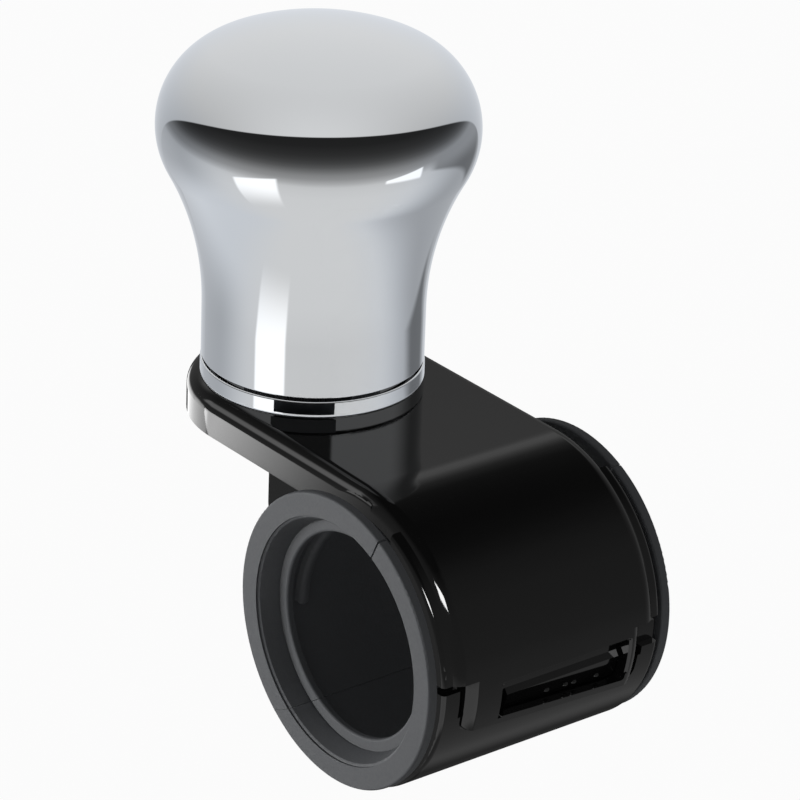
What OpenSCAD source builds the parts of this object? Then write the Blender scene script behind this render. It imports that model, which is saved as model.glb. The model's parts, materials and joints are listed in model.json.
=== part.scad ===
// Steering wheel spinner knob.
// A chromed knob runs on two ball bearings around a fixed spindle. The spindle stands on an offset
// arm that is moulded in one piece with the upper half of a hinged clamp. The lower half of the
// clamp is a jaw that swings on a steel pin under the arm and hooks into a window on the far side.
// Two soft half bushes line the clamp and grip the rim of the wheel.
// Frame: origin at the middle of the clamp's bore, +Y along the bore, +Z along the knob's axis,
// +X from the knob towards the hooked side of the clamp. Millimetres.

/* [Knob] */
// Room between the core's tube and the inside of the knob's foot
neck_room = 1.1; // [0.5:0.1:2]
// Height of the straight base above the arm
knob_base_top = 11; // [8:0.5:14]
// Radius of the hollow curve of the neck
neck_arc_r = 45; // [38:1:55]
// Radius of the rounded shoulder
shoulder_arc_r = 13; // [11:0.5:14]
// Distance of the shoulder arc's centre from the knob's axis
shoulder_centre_r = 10.65; // [9.5:0.05:11.5]
// Radius of the crown
crown_arc_r = 39; // [34:1:46]
// Wall of the chromed shell
knob_wall = 2.4; // [1.6:0.1:3]
// Gap between the base ring and the spinning shell
spin_gap = 0.45; // [0.3:0.05:1]

/* [Base ring] */
// Reach of the chromed ring beyond the knob's foot
base_ring_reach = 0.1; // [0:0.05:0.5]
// Height of the ring
base_ring_h = 2.45; // [1.5:0.05:4]
// Radial width of the ring's wall
base_ring_w = 3.2; // [2:0.1:5]
// Thickness of the ring's floor, which the spindle clamps to the arm
base_floor_t = 1; // [0.6:0.1:1.4]
// Rounding of the ring's edges
base_edge_r = 0.25; // [0.1:0.05:0.4]
// Room between the felt dust seal and the ring's wall
seal_room = 0.6; // [0.2:0.1:1]
// Radial width of the felt dust seal
seal_w = 2.4; // [1.5:0.1:2.7]

/* [Bearings] */
// Bore radius of the inner race
race_bore_r = 4; // [3:0.25:5]
// Outer radius of the outer race
race_outer_r = 11; // [10:0.25:12]
// Width of a bearing
bearing_w = 7; // [6:0.25:8]
// Radius of a ball
ball_r = 1.98; // [1.5:0.02:2.3]
// Number of balls in a bearing
ball_n = 7; // [5:1:8]
// Thickness of a cage
cage_t = 1.2; // [0.8:0.1:1.6]
// Width of a cage
cage_w = 5; // [4.6:0.1:5.6]
// Rounding of the races' edges
race_edge_r = 0.4; // [0.2:0.05:0.6]
// Thickness of a race between its groove's mouth and its bore or rim
race_wall = 2.05; // [1.7:0.05:2.4]
// Running clearance between a ball and its groove
ball_gap = 0.05; // [0.02:0.01:0.1]
// Underside of the lower bearing above the arm
lower_bearing_z = 4.7; // [4.6:0.1:6]
// Underside of the upper bearing above the arm
upper_bearing_z = 25; // [20:0.5:27]

/* [Spindle] */
// Radius of the collar that carries the lower inner race
collar_r = 6.1; // [5.4:0.1:7]
// Room between the corners of the spindle's foot and the dust seal
foot_room = 1.16; // [0.6:0.01:2]
// Thickness of the foot
foot_h = 2; // [1.5:0.25:3]
// Width across the flats of the top nut
nut_flats = 13; // [11:0.5:14]
// Height of the top nut
nut_h = 5; // [4:0.5:6.5]
// Bevel of the spindle's top
spindle_tip = 0.6; // [0.3:0.1:1]
// Thickness of the washer under the top nut
top_washer_t = 1.4; // [1:0.1:2]
// Radius of the washer under the top nut
top_washer_r = 7.2; // [6.5:0.1:8]
// Radius of the fixing screw's thread
screw_r = 3; // [2.5:0.25:3]
// Length of the fixing screw's shank
screw_len = 14; // [10:0.5:16]
// Clearance of the screw's hole in the arm
screw_hole_gap = 0.2; // [0.1:0.05:0.4]
// Radius of the fixing screw's hexagon socket
socket_r = 2.3; // [1.8:0.1:2.6]
// Radius of the fixing screw's head
screw_head_r = 5.4; // [4.5:0.1:6.5]
// Height of the fixing screw's head
screw_head_h = 2.6; // [2:0.1:3.4]
// Thickness of the split lock washer
lock_washer_t = 1.2; // [1:0.1:1.6]
// Width of the lock washer's split
lock_washer_split = 0.8; // [0.5:0.1:1.2]
// Radius of the flat washer under the arm
flat_washer_r = 7.5; // [7:0.25:9]
// Thickness of the flat washer
flat_washer_t = 1; // [0.8:0.1:1.4]

/* [Arm] */
// Distance of the knob's axis outside the barrel's middle
knob_out = 12.1; // [10:0.1:16]
// Reach of the arm beyond the base ring
arm_border = 1.9; // [1:0.1:3]
// Height of the arm's side
arm_h = 6; // [5:0.1:7]
// Rounding of the arm's top edge
arm_edge_r = 2.3; // [1:0.1:2.6]
// Thickness of the arm's top skin
arm_skin = 2.8; // [2.4:0.1:3.4]
// Thickness of the arm's rim wall
arm_rim = 2.4; // [1.8:0.1:3]
// Thickness of the ribs under the arm
arm_rib = 1.5; // [1:0.1:2]
// Height of the ribs above the rim's lower edge
arm_rib_inset = 0.8; // [0.4:0.1:1.5]
// Number of ribs around the spindle's boss
arm_rib_n = 8; // [6:1:10]

/* [Clamp shells] */
// Outer radius of the raised middle of the upper shell
panel_r = 23.3; // [23:0.1:24]
// Step from the raised middle down to the end bands and the jaw
band_step = 1; // [0.5:0.1:1.3]
// Wall of the raised middle
shell_wall = 3.6; // [3.3:0.1:4]
// Reach of the end bands beyond the arm's sides
band_reach = 1.3; // [1:0.1:1.8]
// Rounding of the end bands' outer edge
band_edge_r = 0.7; // [0.3:0.1:1]
// Distance from the bore's axis plane at which the upper end bands start
band_start_x = 9.3; // [7:0.1:12]
// Height at which the upper end bands stop on the hooked side
band_stop_z = 1.6; // [1:0.1:3]
// Half length of the tongue between the jaw's ears
tongue_half_l = 16; // [15:0.1:16.5]
// Height at which the tongue ends, halfway along the bore
tongue_z = -7.5; // [-8.2:0.1:-7]
// Fall of the tongue's end and of the window's lower edge from front to back
tongue_fall = 3.5; // [0:0.5:4.5]
// Rounding of the tongue's corners
tongue_corner_r = 2; // [1:0.1:2.6]
// Height of the jaw's ears on the hooked side
ear_top_z = 0.4; // [0:0.1:0.8]
// Gap between the two shells
shell_gap = 0.3; // [0.3:0.05:0.5]
// Width of the open slit beside the tongue
slit_w = 0.8; // [0.4:0.1:1.2]
// Depth to which the slit is open
slit_z = 4; // [3:0.25:5]
// Height of the step in the ear at the back
back_ear_z = -2.7; // [-3.4:0.1:-1.6]
// Depth of that step
back_ear_step = 1.2; // [0.6:0.1:1.4]

/* [Latch] */
// Front end of the window
window_y0 = -9.6; // [-11:0.1:-8]
// Back end of the window
window_y1 = 13.6; // [12:0.1:15]
// Top of the window
window_top_z = -0.2; // [-1:0.1:0.5]
// Height of the catch bar under the window
bar_h = 1.2; // [1:0.1:1.6]
// Rounding of the window's corners
window_corner_r = 0.5; // [0.2:0.1:1]
// Bevel of the window's outer edges
window_bevel = 0.35; // [0.15:0.05:0.5]
// Thickness of the catch bar under the window
bar_t = 1.4; // [1.2:0.05:1.6]
// Thickness of the jaw's spring tongue
spring_t = 1.2; // [1:0.05:1.4]
// Clearance between the hook and the catch bar along its swing
hook_gap = 0.15; // [0.1:0.05:0.3]
// Clearance between the hook and the top of the catch bar
hook_rest_gap = 0.15; // [0.1:0.05:0.3]
// Front end of the hook
hook_y0 = -7.4; // [-8:0.1:-5]
// Gap between the back ends of the hook and the window
hook_back_gap = 0.5; // [0.3:0.1:1]
// Height at which the hook's ramp begins
hook_top_z = -2.6; // [-3.4:0.1:-2]
// Slope of the hook's ramp
hook_ramp = 35; // [25:1:50]
// Top of the spring tongue
spring_top_z = -0.9; // [-1.2:0.1:-0.5]
// Height of the small grip pips on the hook
pip_h = 0.3; // [0.2:0.05:0.4]
// Radius of a pip
pip_r = 0.6; // [0.45:0.05:0.8]
// Height of the pips above the catch bar
pip_rise = 0.8; // [0.7:0.1:2]

/* [Hinge] */
// Distance of the hinge axis outside the barrel's middle
hinge_out = 1.1; // [0.7:0.1:1.7]
// Height of the hinge axis
hinge_z = 8.6; // [8.2:0.1:9.2]
// Radius of a hinge knuckle
knuckle_r = 3.1; // [2.9:0.05:3.4]
// Radius of the hinge pin
pin_r = 1.5; // [1.25:0.05:1.75]
// Running clearance of the pin in the jaw's knuckle
pin_gap = 0.05; // [0.02:0.01:0.1]
// Half length of the jaw's knuckle
jaw_knuckle_half_l = 6.5; // [5:0.1:8]
// Half length over the outer knuckles
hinge_half_l = 13.5; // [12:0.1:15]
// Clearance around the jaw's knuckle
knuckle_room = 0.5; // [0.4:0.05:0.8]
// Depth below the bore's axis at which the jaw's arm runs into its wall
jaw_arm_foot = 8.6; // [7:0.1:10]
// Radius of the pin's head
pin_head_r = 2.4; // [2.1:0.1:2.8]
// Thickness of the pin's head
pin_head_t = 1.1; // [0.8:0.1:1.6]

/* [Liner] */
// Step from the end bands down to the liner's flange
flange_step = 0.3; // [0:0.1:0.8]
// Reach of a flange's face beyond the end bands
flange_reach = 2.3; // [2:0.1:2.8]
// Thickness of a flange
flange_t = 1.6; // [1.2:0.1:1.8]
// Rounding of a flange's outer edge
flange_edge_r = 0.35; // [0.2:0.05:0.5]
// Gap between the liner and the shells
liner_gap = 0.2; // [0.1:0.05:0.3]
// Wall of the liner
liner_t = 2.4; // [2:0.1:2.8]
// Width over which the liner's mouth narrows to its wall
mouth_lip = 1.45; // [1:0.05:1.8]
// Depth of the small step inside the flange's face
mouth_step = 0.3; // [0.15:0.05:0.5]
// Rounding of the edge behind that step
mouth_round = 0.6; // [0.3:0.05:0.8]
// Length of the cone between that edge and the liner's wall
mouth_cone = 2; // [1:0.1:2.2]
// Height of the end ribs, whose crests grip the rim
rib_h = 1.8; // [1.2:0.1:2.4]
// Distance of the end rib's middle from the liner's face
rib_inset = 3.9; // [3.4:0.1:5]
// Width of a rib
rib_w = 1.3; // [1:0.1:1.6]
// Height of the slanted rib
slant_h = 1.35; // [0.9:0.05:1.5]
// Width of the slanted rib
slant_w = 1.7; // [1.2:0.1:1.9]
// Rounding of a rib's crest
rib_edge_r = 0.4; // [0.2:0.05:0.5]
// Tilt of the slanted rib
slant_angle = 11; // [6:0.5:13]
// Direction in which the slanted rib leans towards the mouth
slant_towards = 230; // [215:1:245]
// Place of the slanted rib's middle along the bore
slant_y = 12.9; // [11:0.1:13.5]
// Angle at which the slanted rib stops
slant_end = 188; // [180:1:200]
// Angle of the seam between the two half bushes on the hooked side
seam_angle = 64.5; // [58:0.5:70]
// Angle of the seam on the hinge side
seam_low_angle = 237; // [232:0.5:242]
// Gap of the seam on the hooked side
seam_gap = 0.3; // [0.2:0.05:0.4]
// Gap of the seam on the hinge side, where the half bushes almost touch
seam_low_gap = 0.06; // [0.04:0.01:0.2]

/* [Knob core] */
// Wall of the core's tube around the bearings
core_wall = 2; // [1.6:0.1:2.6]
// Thickness of the core's ribs
core_rib = 1.6; // [1.2:0.1:2.4]
// Number of ribs on the core
core_rib_n = 6; // [5:1:8]
// Clearance between the core and the shell
core_gap = 0.05; // [0.03:0.01:0.1]
// Wall of the tube that keeps the inner races apart
spacer_wall = 1.6; // [1.2:0.1:2]
// Height of the core's flange at the knob's foot
core_flange_h = 6; // [4:0.5:8]
// Height of the core's lip above the upper bearing
core_lip = 1; // [0.5:0.1:2]
// Radial width of the snap ring inside the bearing's edge
circlip_w = 1.2; // [0.8:0.1:1.6]
// Angle of the snap ring's mouth
circlip_mouth = 40; // [25:5:60]
// Thickness of the snap ring under the lower bearing
circlip_t = 1; // [0.8:0.1:1.2]
// Depth of the snap ring's groove
circlip_depth = 0.7; // [0.5:0.1:1]

/* [Hidden] */
$fn = 128;

// A cut runs this far past the face that it opens
past = 1;
// Radial play of parts that are pushed together within one body
fit_gap = 0.01;
// Reach of the cutting wedges and blocks
far = 80;
// Straight edges meet their corner arcs this little inside the tangent
hair = 0.003;
// The rounding of the tongue's sides meets the outer face this much off the tangent
corner_lap = 0.03;

// Places of the grip pips along the hook
pip_places = [0.4, 3.9, 5.5, 9.8];

// The bearings set the knob's foot, which sets the ring, the arm's width and the clamp's length
knob_base_r = race_outer_r + core_wall + neck_room + knob_wall;
base_ring_r = knob_base_r + base_ring_reach;
seal_inner_r = base_ring_r - base_ring_w - seal_room - seal_w;
foot_flats = 2 * cos(30) * (seal_inner_r - foot_room);
arm_half_w = base_ring_r + arm_border;
band_half_l = arm_half_w + band_reach;

// Radii of the clamp, from the raised middle inwards
band_r = panel_r - band_step;
shell_bore_r = panel_r - shell_wall;
bar_inner_r = panel_r - bar_t;
spring_r = shell_bore_r + spring_t;
hinge_x = panel_r + hinge_out;
knob_offset = panel_r + knob_out;

// Heights from the bore's axis
arm_top = panel_r;
arm_bottom = arm_top - arm_h;
arm_hollow_h = arm_h - arm_skin;
washer_room_r = flat_washer_r + 0.8;
knob_x = -knob_offset;

// Knob outline: the base cylinder, the neck, the shoulder and the crown meet at tangent points
knob_foot = base_ring_h + spin_gap;
neck_centre_r = knob_base_r + neck_arc_r;
shoulder_rise = sqrt(pow(neck_arc_r + shoulder_arc_r, 2) - pow(neck_centre_r - shoulder_centre_r, 2));
shoulder_z = knob_base_top + shoulder_rise;
crown_drop = sqrt(pow(crown_arc_r - shoulder_arc_r, 2) - pow(shoulder_centre_r, 2));
crown_z = shoulder_z - crown_drop;

// Bearings
pitch_r = (race_bore_r + race_outer_r) / 2;
groove_r = ball_r + ball_gap;
lower_bearing_top = lower_bearing_z + bearing_w;
upper_bearing_top = upper_bearing_z + bearing_w;
core_shoulder_r = race_outer_r - 1.5;

// Spindle stack
screw_seat_z = -arm_skin;
screw_under_z = screw_seat_z - flat_washer_t - lock_washer_t;
screw_top_z = screw_under_z + screw_len;
nut_z = upper_bearing_top + top_washer_t;
spindle_top = nut_z + nut_h + 1;
spindle_r = race_bore_r - fit_gap;

// Tongue, window and catch bar, seen from the side of the hook
bar_top_z = tongue_z + bar_h;
tongue_low_z = tongue_z - tongue_half_l * tan(tongue_fall);
hook_y1 = window_y1 - hook_back_gap;
pocket_top_angle = asin((spring_top_z + 2.5) / bar_inner_r);

// Hinge and latch distances, measured from the hinge axis
hinge_at = [-hinge_x, hinge_z];
block_root_x = 0.8 * shell_bore_r;
function bar_point(z) = [sqrt(pow(bar_inner_r, 2) - pow(z, 2)), z];
bar_swing_r = min(norm(bar_point(bar_top_z - window_y0 * tan(tongue_fall)) - hinge_at),
                  norm(bar_point(tongue_low_z) - hinge_at));
hook_swing_r = bar_swing_r - hook_gap;
function pip_angle(y) = asin((hinge_z - bar_top_z - pip_rise + y * tan(tongue_fall)) / hook_swing_r);

// Liner
liner_half_l = band_half_l + flange_reach;
flange_r = band_r - flange_step;
flange_inner_y = liner_half_l - flange_t;
liner_body_r = shell_bore_r - liner_gap;
liner_wall_r = liner_body_r - liner_t;
mouth_r = liner_wall_r + mouth_lip;
rib_crest_r = liner_wall_r - rib_h;
slant_crest_r = liner_wall_r - slant_h;
rib_y = liner_half_l - rib_inset;
seam_mid_r = (liner_body_r + liner_wall_r) / 2;
seam_low_at = seam_mid_r * [cos(seam_low_angle), sin(seam_low_angle)];
seam_swing_r = norm(seam_low_at - hinge_at);

// Placing helpers
module on_knob() {
    translate([knob_x, 0, arm_top]) children();
}
module turned_on_bore() {
    rotate([-90, 0, 0]) rotate_extrude() children();
}
module along_bore(y0, y1) {
    translate([0, y1, 0]) rotate([90, 0, 0]) linear_extrude(y1 - y0) children();
}
module along_x(x0, x1) {
    translate([x0, 0, 0]) rotate([90, 0, 90]) linear_extrude(x1 - x0) children();
}
module drilled_along_bore(r) {
    rotate([90, 0, 0]) cylinder(h = 2 * far, r = r, center = true);
}

// Plane shapes
module wedge(a0, a1) {
    step = (a1 - a0) / 4;
    polygon(concat([[0, 0]], [for (i = [0 : 4]) far * [cos(a0 + step * i), sin(a0 + step * i)]]));
}
module hex(flats) {
    circle(d = flats / cos(30), $fn = 6);
}
// A polygon whose corners are arcs of radius c about the given points, listed anticlockwise
module rounded_polygon(centres, c) {
    n = len(centres);
    polygon([for (i = [0 : n - 1])
        let (a = centres[i], b = centres[(i + 1) % n], d = (b - a) / norm(b - a), out = [d[1], -d[0]])
        each [a + (c - hair) * out, b + (c - hair) * out]]);
    for (p = centres) translate(p) circle(c);
}
// A band of radius r0 to r1 and length y0 to y1 whose outer edges are rounded by f
module edged_band(r0, r1, y0, y1, f) {
    translate([r0, y0]) square([r1 - r0 - f, y1 - y0]);
    translate([r0, y0 + f]) square([r1 - r0, y1 - y0 - 2 * f]);
    for (y = [y0 + f, y1 - f]) translate([r1 - f, y]) circle(f);
}

// The knob's half outline, moved inwards by t; it is open below from z0
module knob_half_outline(t, z0) {
    translate([0, z0]) square([knob_base_r - t, knob_base_top - z0]);
    difference() {
        polygon([[0, knob_base_top], [neck_centre_r, knob_base_top],
                 [shoulder_centre_r, shoulder_z], [0, shoulder_z]]);
        translate([neck_centre_r, knob_base_top]) circle(neck_arc_r + t, $fn = 256);
    }
    intersection() {
        translate([shoulder_centre_r, shoulder_z]) circle(shoulder_arc_r - t);
        translate([0, knob_base_top]) square([far, far]);
    }
    intersection() {
        translate([0, crown_z]) circle(crown_arc_r - t, $fn = 256);
        polygon([[0, crown_z], [0, crown_z] + 3 * [shoulder_centre_r, crown_drop], [0, crown_z + far]]);
    }
}

// Upper shell: the arm
module arm_section() {
    translate([-arm_half_w, arm_bottom]) square([2 * arm_half_w, arm_h - arm_edge_r]);
    translate([arm_edge_r - arm_half_w, arm_bottom]) square([2 * (arm_half_w - arm_edge_r), arm_h]);
    for (s = [-1, 1]) translate([s * (arm_half_w - arm_edge_r), arm_top - arm_edge_r]) circle(arm_edge_r);
}
module arm_solid() {
    translate([knob_x, 0, 0]) rotate_extrude() intersection() {
        arm_section();
        square([far, far]);
    }
    along_x(knob_x, 0) arm_section();
}
// The space under the arm's skin, around the ribs and the ring that holds the washers
module arm_hollow() {
    inner_w = arm_half_w - arm_rim;
    translate([knob_x, 0, arm_bottom]) difference() {
        translate([0, 0, -past]) union() {
            cylinder(h = arm_hollow_h + past, r = inner_w);
            translate([0, -inner_w, 0])
                cube([knob_offset - shell_bore_r, 2 * inner_w, arm_hollow_h + past]);
        }
        translate([0, 0, arm_rib_inset]) difference() {
            union() {
                for (i = [0 : arm_rib_n - 1]) rotate([0, 0, 360 / arm_rib_n * (i + 0.5)])
                    translate([0, -arm_rib / 2, 0]) cube([2 * arm_half_w, arm_rib, arm_h]);
                cylinder(h = arm_h, r = washer_room_r + arm_rib);
            }
            translate([0, 0, -past]) cylinder(h = arm_h + 2 * past, r = washer_room_r);
        }
    }
}

// Upper shell: the barrel, split from the jaw below the bore's axis
module panel_profile() {
    edged_band(0, panel_r, -arm_half_w, arm_half_w, arm_edge_r);
}
module back_profile() {
    edged_band(0, band_r, -arm_half_w, arm_half_w, band_edge_r);
}
module band_profile() {
    edged_band(0, band_r, -band_half_l, band_half_l, band_edge_r);
}
module tongue_outline(grow) {
    c = tongue_corner_r + grow;
    y = tongue_half_l - tongue_corner_r;
    z = tongue_z + tongue_corner_r / cos(tongue_fall);
    rounded_polygon([[-y, z + y * tan(tongue_fall)], [y, z - y * tan(tongue_fall)], [y, far], [-y, far]], c);
}
module window_outline() {
    c = window_corner_r;
    y0 = window_y0 + c;
    y1 = window_y1 - c;
    z = bar_top_z + c / cos(tongue_fall);
    rounded_polygon([[y0, z - y0 * tan(tongue_fall)], [y1, z - y1 * tan(tongue_fall)],
                     [y1, window_top_z - c], [y0, window_top_z - c]], c);
}
// The window's top and end edges are bevelled outside; each cutter is a small square on its corner
module window_bevels() {
    top_x = sqrt(pow(panel_r, 2) - pow(window_top_z, 2));
    side = window_bevel * sqrt(2);
    along_bore(window_y0 - window_bevel / 2, window_y1 + window_bevel / 2)
        translate([top_x, window_top_z]) rotate(45) square(side, center = true);
    intersection() {
        turned_on_bore() for (y = [window_y0, window_y1]) translate([panel_r, y]) rotate(45) square(side, center = true);
        translate([0, -far, bar_top_z + window_bevel])
            cube([far, 2 * far, window_top_z - bar_top_z - window_bevel / 2]);
    }
}
// The tongue's sides are rounded like the arm's, from below the end bands
module tongue_side_cuts() {
    e = arm_edge_r;
    intersection() {
        turned_on_bore() for (s = [-1, 1]) difference() {
            translate([panel_r - e, s > 0 ? tongue_half_l - e : -tongue_half_l - past]) square(e + past);
            translate([panel_r - e, s * (tongue_half_l - e)]) circle(e + corner_lap);
        }
        translate([0, -far, -far]) cube([far, 2 * far, far + band_stop_z]);
    }
}
module latch_pocket() {
    along_bore(window_y0, window_y1) intersection() {
        wedge(-40, pocket_top_angle);
        circle(bar_inner_r);
    }
}
module barrel_upper_half() {
    difference() {
        turned_on_bore() panel_profile();
        translate([-far, -far, -far]) cube([far, 2 * far, 2 * far]);
        along_x(-past, far) difference() {
            translate([-far, -far]) square([2 * far, far + band_stop_z]);
            tongue_outline(0);
        }
        tongue_side_cuts();
    }
    intersection() {
        turned_on_bore() band_profile();
        translate([band_start_x, -far, band_stop_z]) cube([far, 2 * far, far]);
    }
    intersection() {
        turned_on_bore() back_profile();
        translate([-far, -far, shell_gap]) cube([far + 3, 2 * far, far]);
    }
}
module hinge_block() {
    along_bore(-hinge_half_l, hinge_half_l) {
        translate(hinge_at) circle(knuckle_r);
        translate([hinge_at[0] - knuckle_r, hinge_z])
            square([hinge_x + knuckle_r - block_root_x, arm_top - arm_skin / 2 - hinge_z]);
    }
}
// Room for the jaw's knuckle and for its arm, which swings out to the left of the pin
module jaw_knuckle_room() {
    room = knuckle_r + knuckle_room;
    along_bore(-jaw_knuckle_half_l - shell_gap, jaw_knuckle_half_l + shell_gap) {
        translate(hinge_at) circle(room);
        translate([hinge_at[0] - far, -past]) square([far, hinge_z + past + knuckle_r + 2 * knuckle_room]);
        difference() {
            translate([hinge_at[0], -past]) square([room, hinge_z + past]);
            circle(band_r);
        }
    }
}
module upper_shell() {
    color("#141416") difference() {
        union() {
            barrel_upper_half();
            difference() {
                arm_solid();
                arm_hollow();
            }
            hinge_block();
        }
        drilled_along_bore(shell_bore_r);
        jaw_knuckle_room();
        along_x(shell_bore_r / 2, far) window_outline();
        window_bevels();
        latch_pocket();
        translate([hinge_at[0], 0, hinge_z]) drilled_along_bore(pin_r + fit_gap);
        translate([knob_x, 0, arm_bottom - past]) cylinder(h = arm_h + 2 * past, r = screw_r + screw_hole_gap);
    }
}

// Lower jaw
module jaw_wall() {
    difference() {
        intersection() {
            turned_on_bore() band_profile();
            along_bore(-far, far) {
                translate([0, -far]) square([far, far + ear_top_z]);
                translate([-far, -far]) square([far + past, far]);
            }
        }
        along_x(0, far) tongue_outline(shell_gap);
        for (y = [-tongue_half_l - slit_w, tongue_half_l])
            along_x(shell_bore_r / 2, far) translate([y, -slit_z]) square([slit_w, far]);
        along_bore(tongue_half_l, far) difference() {
            translate([0, back_ear_z]) square([far, far]);
            circle(band_r - back_ear_step);
        }
        drilled_along_bore(shell_bore_r);
    }
}
// The jaw's arm runs from its knuckle down the outside of the barrel and into the jaw's wall
module jaw_arm() {
    left = hinge_at[0] - knuckle_r;
    right = hinge_at[0] + knuckle_r;
    drop = hinge_z + jaw_arm_foot;
    along_bore(-jaw_knuckle_half_l, jaw_knuckle_half_l) {
        translate(hinge_at) circle(knuckle_r);
        difference() {
            polygon([[left, hinge_z], [left + 0.2 * knuckle_r, hinge_z - 0.47 * drop],
                     [left + 0.93 * knuckle_r, hinge_z - 0.76 * drop], [-0.92 * band_r, -jaw_arm_foot],
                     [-block_root_x, -0.58 * jaw_arm_foot], [right, 0], [right, hinge_z]]);
            intersection() {
                circle(band_r + shell_gap + pin_gap);
                translate([-far, 0]) square([far, far]);
            }
        }
    }
}
module jaw_spring() {
    along_bore(hook_y0 - slit_w, hook_y1) difference() {
        intersection() {
            circle(spring_r);
            translate([0, -0.5 * shell_bore_r]) square([far, 0.5 * shell_bore_r + spring_top_z]);
        }
        circle(shell_bore_r);
    }
}
module jaw_hook() {
    ramp_x = sqrt(pow(spring_r, 2) - pow(hook_top_z, 2));
    ramp_h = hook_top_z - tongue_low_z;
    fall = 2 * tongue_half_l * tan(tongue_fall);
    low_z = bar_top_z + hook_rest_gap;
    difference() {
        along_bore(hook_y0, hook_y1) difference() {
            intersection() {
                translate(hinge_at) circle(hook_swing_r - pip_h, $fn = 256);
                polygon([[ramp_x - spring_t, hook_top_z], [ramp_x, hook_top_z],
                         [ramp_x + ramp_h * tan(hook_ramp), tongue_low_z], [ramp_x - spring_t - bar_t, tongue_low_z]]);
            }
            circle(spring_r - shell_gap);
        }
        along_x(0, far) polygon([[-tongue_half_l, low_z + fall / 2], [-tongue_half_l, -far],
                                 [tongue_half_l, -far], [tongue_half_l, low_z - fall / 2]]);
    }
    for (y = pip_places) rotate([90, 0, 0]) translate([0, 0, -y])
        translate(hinge_at + (hook_swing_r - pip_r) * [cos(pip_angle(y)), -sin(pip_angle(y))]) sphere(pip_r);
}
module lower_jaw() {
    color("#17171a") difference() {
        union() {
            jaw_wall();
            difference() {
                jaw_arm();
                drilled_along_bore(shell_bore_r);
            }
            jaw_spring();
            jaw_hook();
        }
        translate([hinge_at[0], 0, hinge_z]) drilled_along_bore(pin_r + pin_gap);
    }
}
module hinge_pin() {
    color("#8d9196") translate([hinge_at[0], 0, hinge_z]) rotate([-90, 0, 0]) rotate_extrude() {
        translate([0, -hinge_half_l]) square([pin_r, 2 * hinge_half_l + pin_head_t / 2]);
        intersection() {
            translate([0, hinge_half_l + pin_head_t - 2 * pin_head_r]) circle(2 * pin_head_r);
            translate([0, hinge_half_l]) square([pin_head_r, pin_head_t]);
        }
    }
}

// Liner: one shape, parted into two half bushes
module rib_profile(y) {
    c = rib_edge_r;
    rounded_polygon([[rib_crest_r + c, y - rib_w / 2 + c], [liner_wall_r + c, y - rib_w / 2 + c],
                     [liner_wall_r + c, y + rib_w / 2 - c], [rib_crest_r + c, y + rib_w / 2 - c]], c);
}
// The mouth has a small step, a rounded edge behind it and a cone down to the liner's wall
module mouth_cut() {
    edge_y = liner_half_l - mouth_step - mouth_round;
    cone_rise = mouth_lip - mouth_round;
    out = liner_half_l + past - edge_y;
    difference() {
        translate([liner_wall_r - past, edge_y]) square([mouth_lip + past, out]);
        translate([mouth_r, edge_y]) circle(mouth_round);
    }
    polygon([[liner_wall_r - past, edge_y - mouth_cone], [liner_wall_r, edge_y - mouth_cone],
             [liner_wall_r + cone_rise * (1 + out / mouth_cone), edge_y + out], [liner_wall_r - past, edge_y + out]]);
}
module liner_profile() {
    difference() {
        union() {
            translate([liner_wall_r, -liner_half_l + flange_edge_r])
                square([liner_body_r - liner_wall_r, 2 * (liner_half_l - flange_edge_r)]);
            for (y = [-liner_half_l, flange_inner_y])
                edged_band(liner_wall_r, flange_r, y, y + flange_t, flange_edge_r);
        }
        mouth_cut();
        mirror([0, 1]) mouth_cut();
    }
    for (s = [-1, 1]) rib_profile(s * rib_y);
}
// The second rib of each mouth leans inwards and stops with a round end
module slanted_rib() {
    rib_mid_r = slant_crest_r + slant_w / 2;
    intersection() {
        translate([0, -slant_y, 0]) rotate([0, -slant_towards, 0]) rotate([0, 0, -slant_angle]) {
            rotate([-90, 0, 0]) rotate_extrude() {
                translate([rib_mid_r, 0]) circle(slant_w / 2);
                translate([rib_mid_r, -slant_w / 2]) square([liner_wall_r - rib_mid_r + 0.4, slant_w]);
            }
        }
        drilled_along_bore(liner_wall_r + 0.3);
        along_bore(-liner_half_l, 0) {
            wedge(seam_angle, 180);
            wedge(179, slant_end);
        }
    }
    translate([0, -slant_y, 0]) rotate([0, -slant_towards, 0]) rotate([0, 0, -slant_angle])
        rotate([0, slant_towards - slant_end, 0]) translate([rib_mid_r, 0, 0]) sphere(slant_w / 2);
}
module liner() {
    turned_on_bore() liner_profile();
    slanted_rib();
    mirror([0, 1, 0]) slanted_rib();
}
// The seam on the hinge side follows the jaw's swing, so the lower bush leaves with the jaw
module upper_liner() {
    color("#5f6164") intersection() {
        liner();
        along_bore(-far, far) {
            translate(seam_gap / 2 * [-sin(seam_angle), cos(seam_angle)]) wedge(seam_angle, 200);
            intersection() {
                wedge(180, 280);
                translate(hinge_at) circle(seam_swing_r - seam_low_gap / 2, $fn = 256);
            }
        }
    }
}
module lower_liner() {
    color("#5c5e61") intersection() {
        liner();
        along_bore(-far, far) {
            translate(seam_gap / 2 * [sin(seam_angle), -cos(seam_angle)]) wedge(-80, seam_angle);
            wedge(270, 340);
            difference() {
                wedge(200, 275);
                translate(hinge_at) circle(seam_swing_r + seam_low_gap / 2, $fn = 256);
            }
        }
    }
}

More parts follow.
